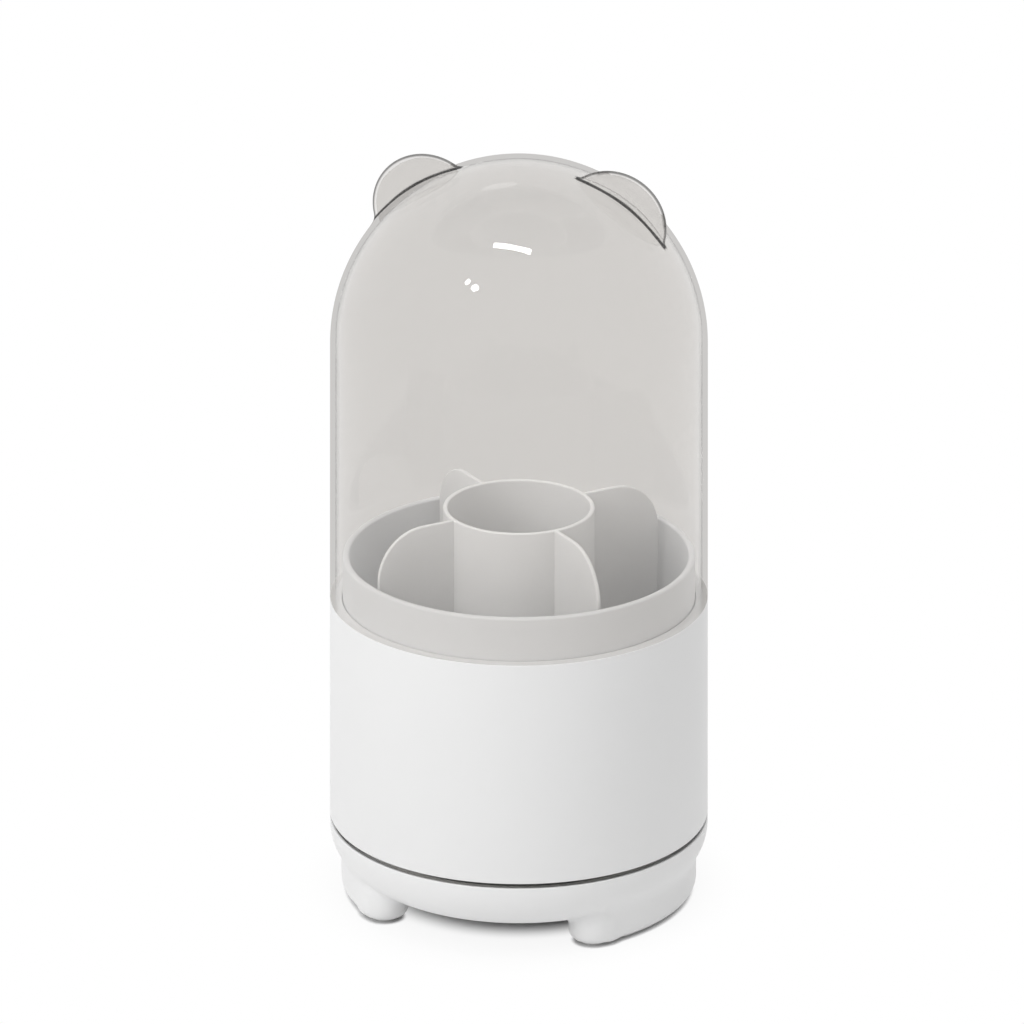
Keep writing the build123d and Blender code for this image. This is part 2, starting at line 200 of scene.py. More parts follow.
def mouldedSkinGroup():
    # slow tone drift, fine grain height and gloss drift of a moulded part
    group = bpy.data.node_groups.new("mouldedSkin", "ShaderNodeTree")
    color, number = "NodeSocketColor", "NodeSocketFloat"
    takes = {"Light": color, "Dark": color, "Drift Scale": number, "Grain Scale": number,
             "Gloss Low": number, "Gloss High": number}
    gives = {"Color": color, "Roughness": number, "Height": number}
    for way, sockets in (("INPUT", takes), ("OUTPUT", gives)):
        for name, kind in sockets.items():
            group.interface.new_socket(name, in_out=way, socket_type=kind)
    given = put(group, "NodeGroupInput").outputs
    place = put(group, "ShaderNodeTexCoord").outputs["Object"]
    drift = put(group, "ShaderNodeTexNoise", {"Vector": place, "Scale": given["Drift Scale"],
                                              "Detail": 3.0, "Roughness": 0.5}).outputs["Fac"]
    grain = put(group, "ShaderNodeTexNoise", {"Vector": place, "Scale": given["Grain Scale"],
                                              "Detail": 2.0, "Roughness": 0.6}).outputs["Fac"]
    tone = mixed(group, drift, given["Dark"], given["Light"])
    gloss = ranged(group, drift, 0.3, 0.7, given["Gloss Low"], given["Gloss High"])
    put(group, "NodeGroupOutput", {"Color": tone, "Roughness": gloss, "Height": grain})
    return group


mouldedSkin = mouldedSkinGroup()


def mouldedFinish(name, light, dark, gloss, driftScale=14.0, grain=0.03, metallic=0.0, level=0.5):
    material, tree, shader, _ = newTree(name)
    facts = {"Light": (*light, 1), "Dark": (*dark, 1), "Drift Scale": driftScale, "Grain Scale": 2600.0,
             "Gloss Low": gloss[0], "Gloss High": gloss[1]}
    skin = put(tree, "ShaderNodeGroup", facts, node_tree=mouldedSkin).outputs
    bump = put(tree, "ShaderNodeBump", {"Height": skin["Height"], "Strength": grain, "Distance": 0.0004})
    feed(tree, shader, {"Base Color": skin["Color"], "Roughness": skin["Roughness"], "Metallic": metallic,
                        "Specular IOR Level": level, "Normal": bump.outputs["Normal"]})
    return material


whiteShell = mouldedFinish("whiteShell", (0.872, 0.872, 0.870), (0.852, 0.852, 0.851), (0.33, 0.41),
                           level=0.2)
coolWhite = mouldedFinish("coolWhite", (0.866, 0.872, 0.878), (0.846, 0.852, 0.858), (0.33, 0.41),
                          level=0.4)
raceAcetal = mouldedFinish("raceAcetal", (0.80, 0.79, 0.76), (0.72, 0.71, 0.68), (0.30, 0.42),
                           driftScale=40.0)
# dark nylon cage; its near-black tone also stands in for the shade inside the seam between drum and base,
# where it shows through the gap
cageAndSeamShade = mouldedFinish("cageAndSeamShade", (0.045, 0.045, 0.047), (0.030, 0.030, 0.032), (0.45, 0.58),
                          grain=0.12)
ballSteel = mouldedFinish("ballSteel", (0.66, 0.66, 0.67), (0.58, 0.58, 0.60), (0.06, 0.14),
                          metallic=1.0)
zincSteel = mouldedFinish("zincSteel", (0.60, 0.61, 0.62), (0.48, 0.49, 0.51), (0.26, 0.40),
                          driftScale=160.0, metallic=1.0)
padSilicone = mouldedFinish("padSilicone", (0.76, 0.76, 0.75), (0.71, 0.71, 0.70), (0.62, 0.74),
                            grain=0.10)

clearLook = {
    "tint": (0.790, 0.777, 0.763, 1),
    "ior": 1.03,
    "coatIor": 1.45,
    "coatFrom": 0.60,  # how edge-on the wall is where the coat begins to fade
    "coatTo": 0.92,
    "coatMost": 0.9,
    "coatLeast": 0.06,
    "hazeScale": 22.0,
    "hazeMost": 0.03,
    # painted shade: near-black tone for the lines along the ear's root and rim, in place of the dark lines a
    # clear wall shows at its crease and edge
    "creaseShadeTint": (0.015, 0.015, 0.015, 1),
    "rootShadeWidth": 1.05,  # width of the painted dark line, in millimetres to each side of the ear's root
    "rimShadeWidth": 0.05,  # width of the painted dark rim line, as a share of the ear's radius
    "rimShadeShare": 0.90,
    "edgeFrom": 0.70,  # how edge-on the wall is where light begins to pass straight
    "edgeTo": 0.79,
    "outerEdge": (0.772, 0.765, 0.758, 1),
    "innerEdge": (0.955, 0.955, 0.955, 1),
    "tintedWalls": 3.5,  # walls met before the tint is spent
    "lampTint": (0.985, 0.985, 0.985, 1),
}


def clearFinish(look):
    # thin tinted wall: light passes nearly straight, and a coat gives the gloss
    material, tree, shader, leave = newTree("clearTinted")
    facing = put(tree, "ShaderNodeLayerWeight", {"Blend": 0.5}).outputs["Facing"]
    sight = put(tree, "ShaderNodeLightPath").outputs
    # painted shade: dark lines along the ear's root and rim, on the near side only, with neither light nor
    # gloss, stand in for the shade the clear wall shows at its crease and rim
    beyond = marked(tree, "earBeyond")
    root = ranged(tree, work(tree, "ABSOLUTE", beyond), look["rootShadeWidth"], look["rootShadeWidth"] / 2)
    rim = ranged(tree, marked(tree, "earOutward"), 1 - look["rimShadeWidth"], 1 - look["rimShadeWidth"] / 2,
                 0.0, look["rimShadeShare"])
    rim = work(tree, "MULTIPLY", rim, work(tree, "LESS_THAN", beyond, 0.0))
    behind = put(tree, "ShaderNodeNewGeometry").outputs["Backfacing"]
    line = work(tree, "MULTIPLY", work(tree, "MAXIMUM", root, rim), work(tree, "SUBTRACT", 1.0, behind))
    plain = work(tree, "SUBTRACT", 1.0, line)
    coat = ranged(tree, facing, look["coatFrom"], look["coatTo"], look["coatMost"], look["coatLeast"])
    place = put(tree, "ShaderNodeTexCoord").outputs["Object"]
    haze = put(tree, "ShaderNodeTexNoise", {"Vector": place, "Scale": look["hazeScale"], "Detail": 2.0})
    feed(tree, shader, {
        "Base Color": mixed(tree, line, look["tint"], look["creaseShadeTint"]),
        "Roughness": 0.0,
        "IOR": look["ior"],
        "Transmission Weight": 1.0,
        "Coat Weight": work(tree, "MULTIPLY", coat, plain),
        "Coat Roughness": ranged(tree, haze.outputs["Fac"], 0.35, 0.75, 0.0, look["hazeMost"]),
        "Coat IOR": look["coatIor"],
    })
    # straight passage: at the edges of the form with their own tone, untinted after four walls, and for lamps
    spent = work(tree, "GREATER_THAN", sight["Transmission Depth"], look["tintedWalls"])
    tone = mixed(tree, marked(tree, "innerSkin"), look["outerEdge"], look["innerEdge"])
    tone = mixed(tree, spent, tone, white)
    tone = mixed(tree, sight["Is Shadow Ray"], tone, look["lampTint"])
    through = put(tree, "ShaderNodeBsdfTransparent", {"Color": tone})
    edge = work(tree, "MULTIPLY", ranged(tree, facing, look["edgeFrom"], look["edgeTo"]), plain)
    straight = work(tree, "MAXIMUM", work(tree, "MAXIMUM", edge, spent), sight["Is Shadow Ray"])
    choose = put(tree, "ShaderNodeMixShader", {"Fac": straight, 1: shader.outputs["BSDF"],
                                               2: through.outputs["BSDF"]})
    feed(tree, leave, {"Surface": choose.outputs["Shader"]})
    return material


clearTinted = clearFinish(clearLook)
print("finishes made:", len(bpy.data.materials))


# Cover: upright slices at constant y, each an inverted U, whose arch swells over the two ears

coverShape = {
    "radius": 0.0700,
    "bore": 0.0680,
    "foot": 0.11858,
    "domeCentre": 0.2190,
    "flare": 0.00733,  # how much a metre of wall widens downwards
    "earAngle": 35.4,
    "earReach": 0.06109,
    "earRadius": 0.0208,
    "earHalf": 0.0028,
    "earCup": 0.0030,
    "earWall": 0.0014,
    "rootBlend": 0.0020,
    "coreBlend": 0.0010,
    "blendReach": 2.5,  # how many blends beside the ear the arch still follows it
    "searchFrom": 0.97,  # shares of the radius between which the skin is looked for
    "searchTo": 1.25,
    "earSpan": 20.0,  # degrees to each side of the ear's middle
    "earColumns": 81,
    "crownStep": 1.6,
    "crownGap": 0.4,
    "sideGap": 2.0,
    "sideColumns": 20,
    # slices through the ear, as shares of its half thickness at the root
    "earRows": (0, 0.03, 0.06, 0.1, 0.15, 0.2, 0.26, 0.33, 0.41, 0.5, 0.6, 0.68, 0.75, 0.81, 0.86, 0.9, 0.93,
                0.96, 0.98, 1.0, 1.02, 1.04, 1.07, 1.1, 1.14, 1.19, 1.25, 1.33, 1.45, 1.6, 1.8, 2.0, 2.2, 2.4,
                2.7, 3.0),
    "restRows": 34,
    "sideRows": 9,
    "farMark": 9.0,  # millimetres from the ear's root that count as far
    "sharp": 50,
}


def archAngles(shape):
    # column angles over the arch, closer together over the ears
    ear, span = shape["earAngle"], shape["earSpan"]
    crown = np.arange(0, ear - span - shape["crownGap"], shape["crownStep"])
    fine = np.linspace(ear - span, ear + span, shape["earColumns"])
    rest = np.linspace(ear + span + shape["sideGap"], 90, shape["sideColumns"])
    side = np.concatenate([crown, fine, rest])
    return np.radians(np.unique(np.concatenate([-side, side]).round(4)))


def coverSide(shape, radius, earRadius, earHalf, blend):
    sink = radius - shape["earReach"]
    rootHalf = earHalf * np.sqrt(1 - (sink / earRadius) ** 2)
    near = np.array(shape["earRows"]) * rootHalf
    rest = radius * np.sin(np.linspace(np.arcsin(near[-1] / radius), pi / 2, shape["restRows"])[1:])
    half = np.concatenate([near, rest])
    y = np.concatenate([-half[:0:-1], half])[:, None]
    alpha = archAngles(shape)[None]
    plain = np.sqrt(np.clip(radius ** 2 - y ** 2, 0, None))
    earTurn = np.abs(alpha) - radians(shape["earAngle"])

    def forms(reach):
        # distances to the dome and to the ear, a lens cupped towards the back, in the slice's polar
        # frame, and the distance from the ear's middle as a share of its radius
        dome = np.sqrt(reach ** 2 + y ** 2) - radius
        along = reach * np.cos(earTurn) - shape["earReach"]
        across = reach * np.sin(earTurn)
        spread = (along ** 2 + across ** 2) / earRadius ** 2
        back = y - shape["earCup"] * np.clip(1 - spread, 0, 1)
        flat = np.sqrt(spread + (back / earHalf) ** 2)
        steep = np.sqrt(spread / earRadius ** 2 + back ** 2 / earHalf ** 4) + tiny
        return dome, flat * (flat - 1) / steep, np.sqrt(spread)

    def joined(reach):
        dome, lens, _ = forms(reach)
        return softLeast(dome, lens, blend)

    closeBy = np.abs(y) < earHalf + shape["earCup"] + shape["blendReach"] * blend
    nearEar = closeBy & (np.abs(earTurn) < radians(shape["earSpan"]))
    inside = np.broadcast_to(plain * shape["searchFrom"], nearEar.shape)
    outside = np.full(nearEar.shape, radius * shape["searchTo"])
    reach = np.where(nearEar, np.maximum(edgeOfForm(joined, inside, outside), plain), plain)
    # how far the ear lies beyond the dome, in millimetres, and how far out on the ear: both guide the painted
    # dark lines of shade at the ear's root and rim
    dome, lens, outward = forms(reach)
    beyond = np.where(nearEar, (lens - dome) * 1000, shape["farMark"])
    outward = np.where(nearEar, outward, 0.0)
    # below the dome the slices widen with the draft of the wall
    rise = np.linspace(shape["foot"], shape["domeCentre"], shape["sideRows"])[None, :-1]
    widen = 1 + (shape["domeCentre"] - rise) * shape["flare"] / radius
    arch = np.stack([reach * np.sin(alpha), y + 0 * reach, shape["domeCentre"] + reach * np.cos(alpha)], -1)
    flank = np.stack([-plain * widen, y * widen, rise + 0 * plain], -1)
    other = flank[:, ::-1] * np.array([-1, 1, 1])
    none = np.zeros(flank.shape[:2])
    far = none + shape["farMark"]
    guides = np.concatenate([far, beyond, far], 1), np.concatenate([none, outward, none], 1)
    return np.concatenate([flank, arch, other], 1), guides


def makeCover(shape):
    outer, (beyond, outward) = coverSide(shape, shape["radius"], shape["earRadius"], shape["earHalf"],
                                         shape["rootBlend"])
    inner, _ = coverSide(shape, shape["bore"], shape["earRadius"] - shape["earWall"],
                         shape["earHalf"] - shape["earWall"], shape["coreBlend"])
    # the outer slice runs on into the inner one, so that each row is one closed loop through the foot
    loops = np.concatenate([outer, inner[:, ::-1]], 1)
    none = np.zeros(outward.shape)
    guides = {
        "earBeyond": np.concatenate([beyond, none + shape["farMark"]], 1),
        "earOutward": np.concatenate([outward, none], 1),
        "innerSkin": np.concatenate([none, none + 1], 1),
    }
    cover = skinOf("cover", [(loops, False, True)], shape["sharp"], guides)
    settle(cover, "cover", "clear_tinted", clearTinted, "dust_cover")


makeCover(coverShape)


# Drum: sleeve with its ledge, and the bucket inside it

drumShape = {
    "topRadius": 0.070738,
    "footRadius": 0.071380,
    "bottom": 0.0310,
    "ledge": 0.1185,
    "ledgeBore": 0.0663,
    "ledgeWall": 0.0024,
    "bore": 0.068538,
    "footBore": 0.069180,
    "rebate": 0.069980,
    "plateTop": 0.0360,
    "topEdge": 0.0003,
    "footEdge": 0.0005,
    "fineEdge": 0.0002,
    "boreEdge": 0.0003,
    "bucketRadius": 0.0660,
    "bucketBore": 0.0634,
    "bucketBottom": 0.0430,
    "bucketEdge": 0.0004,
    "floor": 0.0452,
    "corner": 0.0030,
    "collar": 0.1353,
    "rim": 0.0011,
    "bead": 0.068238,
    "beadWall": 0.0020,
    "ribRadius": 0.0263,
    "ribWall": 0.0016,
    "ribRise": 0.0035,
    "bossRadius": 0.0045,
    "bossBore": 0.0015,
    "bossReach": 0.0420,
    "bossColumns": 40,
}


def makeSleeve(shape):
    ledgeFoot = shape["ledge"] - shape["ledgeWall"]
    section = roundedLoop([
        (shape["rebate"], shape["bottom"], shape["fineEdge"]),
        (shape["footRadius"], shape["bottom"], shape["footEdge"]),
        (shape["topRadius"], shape["ledge"], shape["topEdge"]),
        (shape["ledgeBore"], shape["ledge"], shape["fineEdge"]),
        (shape["ledgeBore"], ledgeFoot, shape["fineEdge"]),
        (shape["bore"], ledgeFoot, shape["boreEdge"]),
        (shape["footBore"], shape["plateTop"], 0),
        (shape["rebate"], shape["plateTop"], 0),
    ])
    sleeve = skinOf("sleeve", [(turned(section), True, True)])
    settle(sleeve, "barrel", "white_shell", whiteShell, "outer_sleeve")


def makeBucket(shape):
    # the bead under the sleeve's ledge, the collar above it, and the rib that centres the divider
    beadTop = shape["ledge"] - shape["ledgeWall"]
    beadFoot = beadTop - shape["beadWall"]
    ribTop, ribBore = shape["floor"] + shape["ribRise"], shape["ribRadius"] - shape["ribWall"]
    section = roundedLoop([
        (onAxis, shape["bucketBottom"], 0),
        (shape["bucketRadius"], shape["bucketBottom"], shape["bucketEdge"]),
        (shape["bucketRadius"], beadFoot, 0),
        (shape["bead"], beadFoot, shape["fineEdge"]),
        (shape["bead"], beadTop, shape["fineEdge"]),
        (shape["bucketRadius"], beadTop, 0),
        (shape["bucketRadius"], shape["collar"], shape["rim"]),
        (shape["bucketBore"], shape["collar"], shape["rim"]),
        (shape["bucketBore"], shape["floor"], shape["corner"]),
        (shape["ribRadius"], shape["floor"], 0),
        (shape["ribRadius"], ribTop, shape["bucketEdge"]),
        (ribBore, ribTop, shape["bucketEdge"]),
        (ribBore, shape["floor"], 0),
        (onAxis, shape["floor"], 0),
    ])
    boss = roundedLoop([
        (shape["bossBore"], shape["plateTop"], 0),
        (shape["bossRadius"], shape["plateTop"], shape["boreEdge"]),
        (shape["bossRadius"], shape["bucketBottom"], 0),
        (shape["bossBore"], shape["bucketBottom"], 0),
    ])
    grids = [(turned(section), True, True)]
    for quarter in range(4):
        spot = (shape["bossReach"] * cos(quarter * pi / 2), shape["bossReach"] * sin(quarter * pi / 2))
        grids.append((turned(boss, shape["bossColumns"], spot), True, True))
    bucket = skinOf("bucket", grids)
    settle(bucket, "barrel", "white_shell", coolWhite, "inner_bucket")


makeSleeve(drumShape)
makeBucket(drumShape)


# Divider: round cup with four fins, the fins as plates with rounded edges

dividerShape = {
    "cupRadius": 0.0283,
    "wall": 0.0017,
    "floor": 0.0452,
    "top": 0.1538,
    "reach": 0.0600,
    "corner": 0.0190,
    "edge": 0.0006,
    "footEdge": 0.0002,
    "finSink": 0.6,  # share of the cup's wall that a fin runs into
    "firstFin": 45.0,
    "cupColumns": 128,
    "cornerSteps": 28,
    "edgeSteps": 11,
}


def finPlate(shape, heading):
    # the outline in (out, up), shrunk towards its middle by the edge round while it crosses the thickness
    start = shape["cupRadius"] - shape["wall"] * shape["finSink"]
    cornerTurn = np.radians(np.linspace(0, 90, shape["cornerSteps"]))
    arc = np.stack([shape["reach"] - shape["corner"] + shape["corner"] * np.cos(cornerTurn),
                    shape["top"] - shape["corner"] + shape["corner"] * np.sin(cornerTurn)], -1)
    foot = [(start, shape["floor"]), (shape["reach"], shape["floor"])]
    outline = np.concatenate([foot, arc, [(start, shape["top"])]])
    ahead, behind = np.roll(outline, -1, 0) - outline, outline - np.roll(outline, 1, 0)
    ahead /= np.linalg.norm(ahead, axis=1)[:, None]
    behind /= np.linalg.norm(behind, axis=1)[:, None]
    inward = np.stack([-(ahead + behind)[:, 1], (ahead + behind)[:, 0]], -1)
    inward /= np.maximum((inward * np.stack([-ahead[:, 1], ahead[:, 0]], -1)).sum(1), tiny)[:, None]
    turn = np.radians(np.linspace(-90, 90, shape["edgeSteps"]))
    halfWall = shape["wall"] / 2
    shift = np.sin(turn) * shape["edge"] + np.sign(np.sin(turn)) * (halfWall - shape["edge"])
    inset = (1 - np.cos(turn))[:, None, None] * shape["edge"]
    middle = np.broadcast_to(outline.mean(0), (1, *outline.shape))
    rows = np.concatenate([middle, outline + inward * inset, middle])
    across = np.concatenate([[-halfWall], shift, [halfWall]])[:, None]
    x = rows[..., 0] * cos(heading) - across * sin(heading)
    y = rows[..., 0] * sin(heading) + across * cos(heading)
    return np.stack([x, y, rows[..., 1]], -1)


def makeDivider(shape):
    bore = shape["cupRadius"] - shape["wall"]
    section = roundedLoop([
        (bore, shape["floor"], shape["footEdge"]),
        (shape["cupRadius"], shape["floor"], shape["footEdge"]),
        (shape["cupRadius"], shape["top"], shape["edge"]),
        (bore, shape["top"], shape["edge"]),
    ])
    grids = [(turned(section, shape["cupColumns"]), True, True)]
    for k in range(4):
        grids.append((finPlate(shape, radians(shape["firstFin"] + 90 * k)), False, True))
    divider = skinOf("divider", grids)
    settle(divider, "divider", "white_shell", whiteShell, "divider_insert")


makeDivider(dividerShape)


# Base: a turned bowl, and on each side a skirt that ends in two rounded toes

baseShape = {
    "radius": 0.071380,
    "top": 0.0292,
    "rimBore": 0.07040,
    "rimEdge": 0.0004,
    "fineEdge": 0.0002,
    "bowlTop": 0.0275,
    "bowlReach": 0.0260,
    "bowlDrop": 0.0200,
    "bowlPower": 2.2,
    "bowlRows": 40,
    "bowlEase": 0.9,  # below 1 the rows lie further apart under the rim
    "bowlColumns": 288,
    "lip": 0.00892,
    "lipBore": 0.053368,
    "plateTop": 0.01073,
    "haunchRadius": 0.0620,
    "haunchHeight": 0.0160,
    "deckReach": 0.0660,
    "deckTop": 0.0256,
    "deckBottom": 0.0232,
    "hubBore": 0.00907,
    "hubRadius": 0.01207,
    "hubBottom": 0.01672,
    "legRadius": 0.06715,
    "legBore": 0.06215,
    "legFoot": 0.0012,
    "legRound": 0.0036,
    "legTop": 0.0205,
    "legEnd": 0.0030,
    "toeAngle": 43.5,
    "toeReach": 0.0590,
    "toeRadius": 0.0092,
    "toeTall": 0.0115,
    "toeMiddle": 0.0058,
    "toeFoot": 0.0010,
    "toeRound": 0.0048,
    "blend": 0.0028,
    "bowlBlend": 0.0026,
    "bowlSink": 0.00015,
    "pathColumns": 120,
    "pathDepth": 0.0025,  # how far the path runs inside the skirt's outer face
    "pathEase": 0.11,  # share of the path at each end that leads from the toe to the skirt
    "fanColumns": 60,
    "rayReach": 0.016,
    # heights above the foot, close together where it is round, then even up to the top
    "footRows": (0.00002, 0.0001, 0.00025, 0.00045, 0.0007, 0.001, 0.0014, 0.0018),
    "evenFrom": 0.0023,
    "evenRows": 60,
    "sharp": 50,
}


def makeBowl(shape):
    # section under the rim: (u to the power n) + (v to the power n) = 1, u out from the bowl's middle, v down
    middle = shape["radius"] - shape["bowlReach"]
    lipV = (shape["bowlTop"] - shape["lip"]) / shape["bowlDrop"]
    v = lipV * np.sin(np.linspace(0, pi / 2, shape["bowlRows"])) ** shape["bowlEase"]
    u = (1 - v ** shape["bowlPower"]) ** (1 / shape["bowlPower"])
    side = np.stack([middle + u * shape["bowlReach"], shape["bowlTop"] - v * shape["bowlDrop"]], -1)
    rim = roundedLoop([
        (shape["rimBore"], shape["deckTop"], shape["fineEdge"]),
        (shape["rimBore"], shape["top"], shape["fineEdge"]),
        (shape["radius"], shape["top"], shape["rimEdge"]),
        (shape["radius"], shape["bowlTop"], 0),
    ])[:-1]
    under = [
        (shape["lipBore"], shape["lip"]),
        (shape["lipBore"], shape["plateTop"]),
        (shape["haunchRadius"], shape["haunchHeight"]),
        (shape["deckReach"], shape["deckBottom"]),
        (shape["hubRadius"], shape["deckBottom"]),
        (shape["hubRadius"], shape["hubBottom"]),
        (shape["hubBore"], shape["hubBottom"]),
        (shape["hubBore"], shape["deckTop"]),
    ]
    return turned(np.concatenate([rim, side, under]), shape["bowlColumns"])


def legDepth(shape, x, y, z):
    # distance to the skirt band and to the toes, joined softly; front and back mirror each other
    y = np.abs(y)
    radius = np.hypot(x, y)
    turn = radians(shape["toeAngle"])
    out = radius - (shape["legRadius"] - shape["legRound"])
    down = shape["legFoot"] + shape["legRound"] - z
    skirt = np.hypot(np.maximum(out, 0), np.maximum(down, 0)) + np.minimum(np.maximum(out, down), 0)
    skirt = np.maximum(skirt - shape["legRound"], shape["legBore"] - radius)
    past = np.sin(np.arctan2(x, y) - turn) * radius
    skirt = softMost(skirt, shape["legEnd"] - past, shape["blend"])
    off = np.hypot(x - shape["toeReach"] * sin(turn), y - shape["toeReach"] * cos(turn))
    rise = np.maximum(z - shape["toeMiddle"], 0) * shape["toeRadius"] / shape["toeTall"]
    toe = softMost(np.hypot(off, rise) - shape["toeRadius"], shape["toeFoot"] - z, shape["toeRound"])
    legs = softLeast(skirt, toe, shape["blend"])
    # the legs flow into the bowl, and lie just under its skin above that
    power = shape["bowlPower"]
    u = np.maximum((radius - shape["radius"]) / shape["bowlReach"] + 1, 0)
    v = np.maximum((shape["bowlTop"] - z) / shape["bowlDrop"], 0)
    total = u ** power + v ** power + tiny
    steep = np.hypot(u ** (power - 1) / shape["bowlReach"], v ** (power - 1) / shape["bowlDrop"]) + tiny
    bowl = (total ** (1 / power) - 1) * total ** (1 - 1 / power) / steep
    bowl = np.maximum(bowl, shape["lip"] - z) + shape["bowlSink"]
    return softLeast(legs, bowl, shape["bowlBlend"])


def compass(angle):
    # headings in the plane, from the front (-y) towards the right (+x)
    return np.stack([np.sin(angle), -np.cos(angle)], -1)


def makeLegs(shape):
    # at each height the outline is found by rays that leave a path from toe to toe: out along the
    # skirt, half round the back toe, back along the inside, half round the front toe
    turn = radians(shape["toeAngle"])
    share = np.linspace(0, 1, shape["pathColumns"])
    bend = turn + (pi - 2 * turn) * share
    ease = np.clip(np.minimum(share, 1 - share) / shape["pathEase"], 0, 1)
    outset = shape["legRadius"] - shape["pathDepth"] - shape["toeReach"]
    reach = shape["toeReach"] + outset * ease ** 2 * (3 - 2 * ease)
    away = compass(bend)
    path = reach[:, None] * away
    fan = np.linspace(0, pi, shape["fanColumns"] + 2)[1:-1]
    starts = np.concatenate([path, path[-1:].repeat(len(fan), 0), path[::-1], path[:1].repeat(len(fan), 0)])
    ways = np.concatenate([away, compass(pi - turn + fan), -away[::-1], compass(turn + pi + fan)])
    even = np.linspace(shape["evenFrom"], shape["legTop"] - shape["toeFoot"], shape["evenRows"])
    z = (shape["toeFoot"] + np.concatenate([shape["footRows"], even]))[:, None]

    def depth(run):
        return legDepth(shape, starts[:, 0] + run * ways[:, 0], starts[:, 1] + run * ways[:, 1], z)

    still = np.zeros((len(z), len(starts)))
    run = edgeOfForm(depth, still, still + shape["rayReach"])
    run = np.concatenate([still[:1], run, still[:1]])
    z = np.concatenate([z[:1], z, z[-1:]])
    grid = np.stack([starts[:, 0] + run * ways[:, 0], starts[:, 1] + run * ways[:, 1], z + 0 * run], -1)
    return grid, grid * np.array([-1, 1, 1])


def makeBase(shape):
    right, left = makeLegs(shape)
    grids = [(makeBowl(shape), True, True), (right, False, True), (left, False, True)]
    base = skinOf("base", grids, shape["sharp"])
    settle(base, "base", "white_shell", whiteShell, "base_housing")


makeBase(baseShape)


# Pads under the toes

padShape = {"radius": 0.0050, "height": 0.0022, "edge": 0.0004, "columns": 56}


def makePads(shape, toes):
    section = roundedLoop([
        (onAxis, 0, 0),
        (shape["radius"], 0, shape["edge"]),
        (shape["radius"], shape["height"], 0),
        (onAxis, shape["height"], 0),
    ])
    turn = radians(toes["toeAngle"])
    for side, name in ((-1, "left"), (1, "right")):
        for way, end in ((-1, "front"), (1, "back")):
            spot = (side * toes["toeReach"] * sin(turn), way * toes["toeReach"] * cos(turn))
            grid = turned(section, shape["columns"], spot)
            pad = skinOf("pad_" + end + "_" + name, [(grid, True, True)])
            settle(pad, "base", "pad_silicone", padSilicone, "foot_pad_" + end + "_" + name)


makePads(padShape, baseShape)


# Works inside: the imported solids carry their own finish

innerFinish = {
    "turntable_plate": whiteShell,
    "underside_plate": whiteShell,
    "upper_race": raceAcetal,
    "lower_race": raceAcetal,
    "pivot_bush": raceAcetal,
    "ball_cage": cageAndSeamShade,
    "bearing_balls": ballSteel,
    "bucket_screws": zincSteel,
    "underside_screws": zincSteel,
    "pivot_washer": zincSteel,
    "pivot_screw": zincSteel,
}
for name, material in innerFinish.items():
    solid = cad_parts[name]
    solid.data.materials.clear()
    solid.data.materials.append(material)
print("inner works dressed:", len(innerFinish))


# Stage: floor, lamps and camera

cameraView = {
    "heading": 15.5,
    "rise": 21.53,
    "distance": 3.5,
    "middle": 0.14605,
    "right": -0.00258,
    "up": 0.00499,
    "lens": 329.47,
    "sensor": 36,
    "clipEnd": 50,
}

stageLook = {
    "floorSize": 7.0,
    "shadowInner": 0.0375,  # distances from the upright axis over which the painted shadow fades to white
    "shadowOuter": 0.0530,
    "shadowWide": 1.09,  # stretch of the shadow across the view
    "shadowRingOuter": 0.061,
    "shadowHaloOuter": 0.088,
    "shadowHaloShare": 0.10,
    "contactShadeReach": 0.0022,
    "contactShadeFrom": 0.45,
    "contactShadeTo": 0.85,
    # darker floor tone that the eye sees near the object, a painted shade; bounced light takes the paler
    # bounce colour
    "floorShadeColor": (0.63, 0.63, 0.63, 1),
    "bounceColor": (0.87, 0.87, 0.87, 1),
    "floorRough": 0.9,
    "floorGloss": 0.1,
    "worldFill": 0.625,
}


def whiteSight(tree, path):
    # 1 for rays that look at the stage, directly or by way of gloss or the clear wall
    seen = work(tree, "MAXIMUM", path["Is Camera Ray"], path["Is Glossy Ray"])
    return work(tree, "MAXIMUM", seen, path["Is Transmission Ray"])


